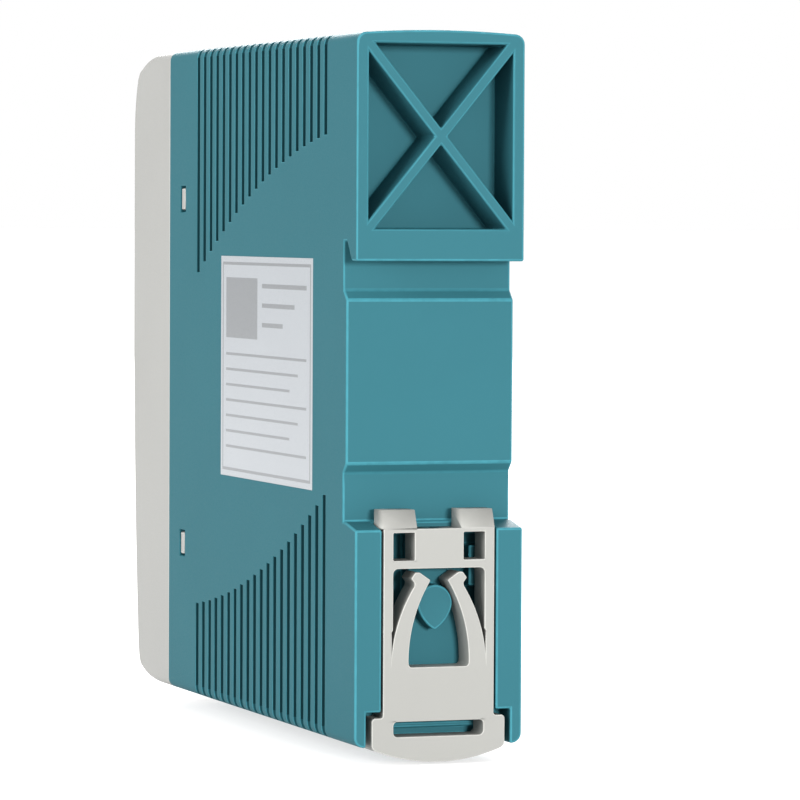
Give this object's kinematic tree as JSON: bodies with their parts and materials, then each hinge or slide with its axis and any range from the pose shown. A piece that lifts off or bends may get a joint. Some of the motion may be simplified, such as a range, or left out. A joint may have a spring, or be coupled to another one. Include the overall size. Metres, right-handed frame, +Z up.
{
  "type": "din rail power supply",
  "caption": "Slim power supply with a grooved shell, a pale front cover with screw clamps, and a hook and sprung latch behind that hold a top-hat rail.",
  "frame": {"origin": "middle of the rail on the rail seat at the back", "axes": "+X across the width, along the rail; +Y backwards to the wall; -Y to the front; +Z up"},
  "size_m": [0.0226, 0.1002, 0.0925],
  "materials": {
    "teal_shell": "moulded, fine matt grain",
    "grey_cover": "moulded, satin",
    "latch_plastic": "moulded, satin",
    "silver_label": "silvered film, blank",
    "front_print": "printed film, blank",
    "block_plastic": "moulded, matt",
    "plated_steel": "zinc plated",
    "tinned_brass": "stamped",
    "trimmer_blue": "moulded",
    "rotor_white": "moulded",
    "light_pipe": "clear moulded",
    "led": "cast resin",
    "board": "solder mask",
    "sheet": "insulating film",
    "ferrite": "sintered, dull",
    "bobbin": "moulded",
    "winding_tape": "wound tape",
    "copper_wire": "enamelled wire",
    "can_sleeve": "shrink sleeve",
    "film_yellow": "moulded box",
    "disc_blue": "dipped resin",
    "fuse_body": "ceramic",
    "disc_green": "dipped resin",
    "chip_black": "moulded",
    "sink_aluminium": "mill finish"
  },
  "bodies": {
    "case": {"housing": "teal_shell", "front_cover": "grey_cover", "side_label": "silver_label", "front_label": "front_print", "output_terminal_block": "block_plastic", "input_terminal_block": "block_plastic", "output_contact_bars": "tinned_brass", "input_contact_bars": "tinned_brass", "trimmer_body": "trimmer_blue", "light_pipe": "light_pipe", "status_led": "led", "main_board": "board", "insulating_sheet": "sheet", "transformer_core": "ferrite", "transformer_bobbin": "bobbin", "transformer_winding": "winding_tape", "choke_core": "ferrite", "choke_windings": "copper_wire", "bulk_capacitor": "can_sleeve", "output_capacitors": "can_sleeve", "x_capacitor": "film_yellow", "y_capacitor": "disc_blue", "fuse": "fuse_body", "inrush_thermistor": "disc_green", "bridge_rectifier": "chip_black", "power_switch": "chip_black", "primary_heatsink": "sink_aluminium", "output_rectifier": "chip_black", "secondary_heatsink": "sink_aluminium", "inductor_core": "ferrite", "inductor_winding": "copper_wire", "optocoupler": "chip_black", "controller_chip": "chip_black"},
    "latch": {"din_latch": "latch_plastic"},
    "arm_left": {"latch_arm_left": "latch_plastic"},
    "arm_right": {"latch_arm_right": "latch_plastic"},
    "trimmer": {"trimmer_rotor": "rotor_white"},
    "output_screw_1": {"output_screw_1": "plated_steel"},
    "output_cage_1": {"output_cage_1": "plated_steel"},
    "output_screw_2": {"output_screw_2": "plated_steel"},
    "output_cage_2": {"output_cage_2": "plated_steel"},
    "output_screw_3": {"output_screw_3": "plated_steel"},
    "output_cage_3": {"output_cage_3": "plated_steel"},
    "input_screw_1": {"input_screw_1": "plated_steel"},
    "input_cage_1": {"input_cage_1": "plated_steel"},
    "input_screw_2": {"input_screw_2": "plated_steel"},
    "input_cage_2": {"input_cage_2": "plated_steel"},
    "input_screw_3": {"input_screw_3": "plated_steel"},
    "input_cage_3": {"input_cage_3": "plated_steel"}
  },
  "joints": [
    {"name": "latch_slide", "type": "slide", "parent": "case", "child": "latch", "axis": [0, 0, -1], "range_m": [0, 0.002], "stiffness_N_per_m": 600, "springref_m": -0.002},
    {"name": "arm_left_flex", "type": "hinge", "parent": "latch", "child": "arm_left", "pos_m": [-0.00493, 0.0034, -0.0324], "axis": [0, -1, 0], "range_deg": [0, 8.1]},
    {"name": "arm_right_flex", "type": "hinge", "parent": "latch", "child": "arm_right", "pos_m": [0.00493, 0.0034, -0.0324], "axis": [0, 1, 0], "range_deg": [0, 8.1]},
    {"name": "trimmer_turn", "type": "hinge", "parent": "case", "child": "trimmer", "pos_m": [-0.0032, -0.089, 0.0206], "axis": [0, 1, 0], "range_deg": [-135, 135]},
    {"name": "output_screw_1_turn", "type": "hinge", "parent": "case", "child": "output_screw_1", "pos_m": [-0.006, -0.09, 0.0335], "axis": [0, 1, 0], "range_deg": [0, 2160]},
    {"name": "output_cage_1_rise", "type": "slide", "parent": "case", "child": "output_cage_1", "axis": [0, -1, 0], "range_m": [0, 0.003]},
    {"name": "output_screw_2_turn", "type": "hinge", "parent": "case", "child": "output_screw_2", "pos_m": [0, -0.09, 0.0335], "axis": [0, 1, 0], "range_deg": [0, 2160]},
    {"name": "output_cage_2_rise", "type": "slide", "parent": "case", "child": "output_cage_2", "axis": [0, -1, 0], "range_m": [0, 0.003]},
    {"name": "output_screw_3_turn", "type": "hinge", "parent": "case", "child": "output_screw_3", "pos_m": [0.006, -0.09, 0.0335], "axis": [0, 1, 0], "range_deg": [0, 2160]},
    {"name": "output_cage_3_rise", "type": "slide", "parent": "case", "child": "output_cage_3", "axis": [0, -1, 0], "range_m": [0, 0.003]},
    {"name": "input_screw_1_turn", "type": "hinge", "parent": "case", "child": "input_screw_1", "pos_m": [-0.006, -0.088, -0.0355], "axis": [0, 1, 0], "range_deg": [0, 2160]},
    {"name": "input_cage_1_rise", "type": "slide", "parent": "case", "child": "input_cage_1", "axis": [0, -1, 0], "range_m": [0, 0.003]},
    {"name": "input_screw_2_turn", "type": "hinge", "parent": "case", "child": "input_screw_2", "pos_m": [0, -0.088, -0.0355], "axis": [0, 1, 0], "range_deg": [0, 2160]},
    {"name": "input_cage_2_rise", "type": "slide", "parent": "case", "child": "input_cage_2", "axis": [0, -1, 0], "range_m": [0, 0.003]},
    {"name": "input_screw_3_turn", "type": "hinge", "parent": "case", "child": "input_screw_3", "pos_m": [0.006, -0.088, -0.0355], "axis": [0, 1, 0], "range_deg": [0, 2160]},
    {"name": "input_cage_3_rise", "type": "slide", "parent": "case", "child": "input_cage_3", "axis": [0, -1, 0], "range_m": [0, 0.003]}
  ],
  "couplings": [
    {"joint": "arm_left_flex", "follows": "latch_slide", "rad_per_m": 70},
    {"joint": "arm_right_flex", "follows": "latch_slide", "rad_per_m": 70},
    {"joint": "output_screw_1_turn", "follows": "output_cage_1_rise", "rad_per_m": 12566},
    {"joint": "output_screw_2_turn", "follows": "output_cage_2_rise", "rad_per_m": 12566},
    {"joint": "output_screw_3_turn", "follows": "output_cage_3_rise", "rad_per_m": 12566},
    {"joint": "input_screw_1_turn", "follows": "input_cage_1_rise", "rad_per_m": 12566},
    {"joint": "input_screw_2_turn", "follows": "input_cage_2_rise", "rad_per_m": 12566},
    {"joint": "input_screw_3_turn", "follows": "input_cage_3_rise", "rad_per_m": 12566}
  ]
}
